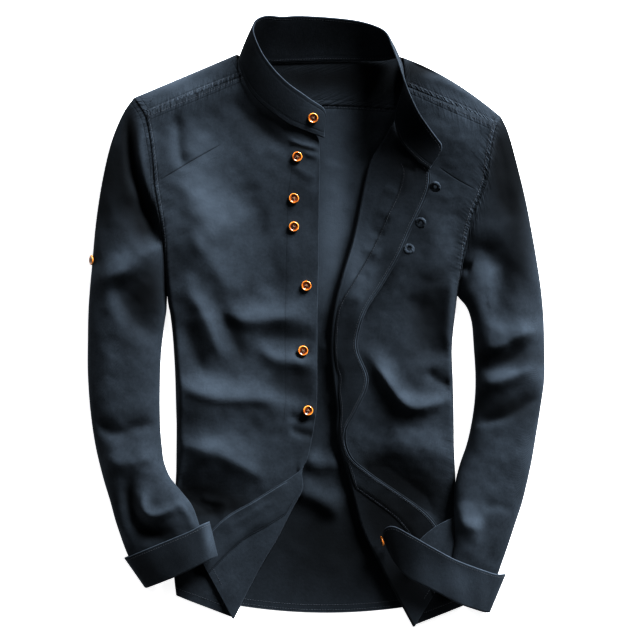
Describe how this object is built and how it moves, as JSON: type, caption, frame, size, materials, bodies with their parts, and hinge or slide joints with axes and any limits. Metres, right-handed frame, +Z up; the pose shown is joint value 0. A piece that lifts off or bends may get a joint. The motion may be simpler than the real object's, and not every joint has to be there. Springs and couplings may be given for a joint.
{
  "type": "mandarin collar shirt laid flat",
  "caption": "Long-sleeved mandarin collar shirt laid flat with its front open, cuffs turned up and one front folded back on itself.",
  "frame": {"origin": "under the middle of the whole laid-out shirt, on the surface that it lies on", "axes": "+Y from hem to collar, +X towards the sleeve on the viewer's right, +Z up from the surface"},
  "size_m": [0.55, 0.732, 0.0578],
  "materials": {
    "twill": "dark navy cotton twill, matt with a soft sheen",
    "twill_inside": "inner side of the same navy twill",
    "amber_button": "amber tortoise resin with four holes"
  },
  "bodies": {
    "root": {"back": "twill_inside", "yoke": "twill", "left_front": "twill", "right_front": "twill", "left_facing": "twill_inside", "right_facing": "twill_inside", "collar": "twill", "left_sleeve": "twill", "right_sleeve": "twill", "left_cuff": "twill_inside", "right_cuff": "twill_inside", "right_slit_flap": "twill", "collar_button": "amber_button", "front_button_1": "amber_button", "front_button_2": "amber_button", "front_button_3": "amber_button", "front_button_4": "amber_button", "front_button_5": "amber_button", "front_button_6": "amber_button", "sleeve_button": "amber_button", "cuff_button": "amber_button", "loop_1": "twill", "loop_2": "twill", "loop_3": "twill"}
  },
  "joints": []
}
